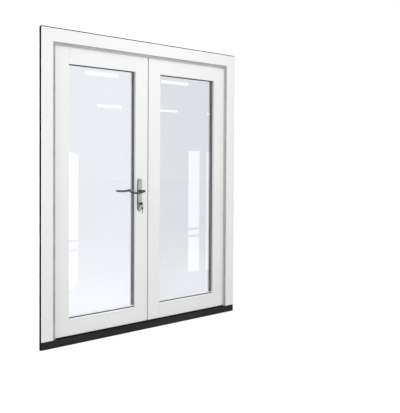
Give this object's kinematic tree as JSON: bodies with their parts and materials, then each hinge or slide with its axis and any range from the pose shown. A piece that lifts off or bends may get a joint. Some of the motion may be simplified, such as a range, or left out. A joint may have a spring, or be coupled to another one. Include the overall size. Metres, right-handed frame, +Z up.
{
  "type": "glazed french doors in their frame",
  "caption": "White timber french doors in their frame: glazed leaves that swing inwards, lever handle with key, bolts, dark sill, black sealing tape.",
  "frame": {"origin": "on the underside of the sill, midway along its width and midway through the frame's depth", "axes": "+Z up; X along the width, the active leaf with the handle is at -X; -Y is the outside face, the leaves swing towards +Y"},
  "size_m": [1.804, 0.1898, 2.097],
  "materials": {
    "painted_timber": "smooth satin white paint over planed timber",
    "sill_dark": "dark grey textured profile",
    "sill_pale": "pale matt composite",
    "tape": "open cell foam tape, matt black",
    "black_seal": "matt black extruded seal",
    "pale_seal": "pale grey soft seal",
    "glass": "clear float glass",
    "spacer": "grey warm edge strip",
    "setting_plastic": "plain moulded plastic",
    "satin_steel": "bright satin",
    "lever_steel": "darker polished steel",
    "hinge_steel": "satin",
    "zinc_steel": "bright zinc plating",
    "nickel": "nickel plating",
    "key_steel": "nickel plated, lightly worn"
  },
  "bodies": {
    "frame": {"jamb_left": "painted_timber", "jamb_right": "painted_timber", "head": "painted_timber", "sill_nosing": "sill_dark", "sill_base": "sill_pale", "frame_seal": "black_seal", "perimeter_tape": "tape", "bolt_keeps": "zinc_steel", "frame_hinge_leaves": "hinge_steel", "hinge_pins": "hinge_steel", "frame_hinge_screws": "hinge_steel"},
    "active_leaf": {"active_hinge_stile": "painted_timber", "active_lock_stile": "painted_timber", "active_top_rail": "painted_timber", "active_bottom_rail": "painted_timber", "active_panes": "glass", "active_spacer": "spacer", "active_glazing_seals": "black_seal", "active_setting_blocks": "setting_plastic", "active_beads": "painted_timber", "active_weather_bead": "painted_timber", "active_bottom_seal": "black_seal", "active_hinge_leaves": "hinge_steel", "active_hinge_screws": "hinge_steel", "meeting_seal": "pale_seal", "lock_case": "zinc_steel", "lock_cover": "zinc_steel", "lock_faceplate": "zinc_steel", "cylinder_body": "nickel", "backplate_outside": "satin_steel", "backplate_inside": "satin_steel", "handle_screws": "zinc_steel"},
    "passive_leaf": {"passive_hinge_stile": "painted_timber", "passive_meeting_stile": "painted_timber", "passive_top_rail": "painted_timber", "passive_bottom_rail": "painted_timber", "passive_panes": "glass", "passive_spacer": "spacer", "passive_glazing_seals": "black_seal", "passive_setting_blocks": "setting_plastic", "passive_beads": "painted_timber", "passive_weather_bead": "painted_timber", "passive_bottom_seal": "black_seal", "passive_hinge_leaves": "hinge_steel", "passive_hinge_screws": "hinge_steel", "strike_plate": "zinc_steel", "flush_bolt_plates": "zinc_steel"},
    "handle": {"lever_outside": "lever_steel", "lever_inside": "lever_steel", "spindle": "zinc_steel", "lock_pinion": "zinc_steel"},
    "upper_bolt": {"upper_rod": "zinc_steel"},
    "lower_bolt": {"lower_rod": "zinc_steel"},
    "deadbolt": {"deadbolt": "zinc_steel"},
    "key": {"cylinder_plug": "nickel", "key": "key_steel", "key_ring": "key_steel", "spare_key": "key_steel"},
    "passive_top_bolt": {"passive_top_bolt": "zinc_steel"},
    "passive_bottom_bolt": {"passive_bottom_bolt": "zinc_steel"}
  },
  "joints": [
    {"name": "active_leaf_swing", "type": "hinge", "parent": "frame", "child": "active_leaf", "pos_m": [-0.807, 0.051, 1], "axis": [0, 0, 1], "range_deg": [0, 100]},
    {"name": "passive_leaf_swing", "type": "hinge", "parent": "frame", "child": "passive_leaf", "pos_m": [0.807, 0.051, 1], "axis": [0, 0, -1], "range_deg": [0, 100]},
    {"name": "handle_turn", "type": "hinge", "parent": "active_leaf", "child": "handle", "pos_m": [-0.08, 0.006, 1.014], "axis": [0, -1, 0], "range_deg": [0, 90]},
    {"name": "upper_bolt_slide", "type": "slide", "parent": "active_leaf", "child": "upper_bolt", "axis": [0, 0, 1], "range_m": [0, 0.01571]},
    {"name": "lower_bolt_slide", "type": "slide", "parent": "active_leaf", "child": "lower_bolt", "axis": [0, 0, -1], "range_m": [0, 0.01571]},
    {"name": "key_turn", "type": "hinge", "parent": "active_leaf", "child": "key", "pos_m": [-0.08, 0.006, 0.922], "axis": [0, -1, 0], "range_deg": [0, 360]},
    {"name": "deadbolt_slide", "type": "slide", "parent": "active_leaf", "child": "deadbolt", "axis": [1, 0, 0], "range_m": [0, 0.02]},
    {"name": "passive_top_bolt_slide", "type": "slide", "parent": "passive_leaf", "child": "passive_top_bolt", "axis": [0, 0, 1], "range_m": [0, 0.0157]},
    {"name": "passive_bottom_bolt_slide", "type": "slide", "parent": "passive_leaf", "child": "passive_bottom_bolt", "axis": [0, 0, -1], "range_m": [0, 0.0157]}
  ],
  "couplings": [
    {"joint": "upper_bolt_slide", "follows": "handle_turn", "m_per_rad": 0.01},
    {"joint": "lower_bolt_slide", "follows": "handle_turn", "m_per_rad": 0.01},
    {"joint": "deadbolt_slide", "follows": "key_turn", "m_per_rad": 0.0031831}
  ]
}
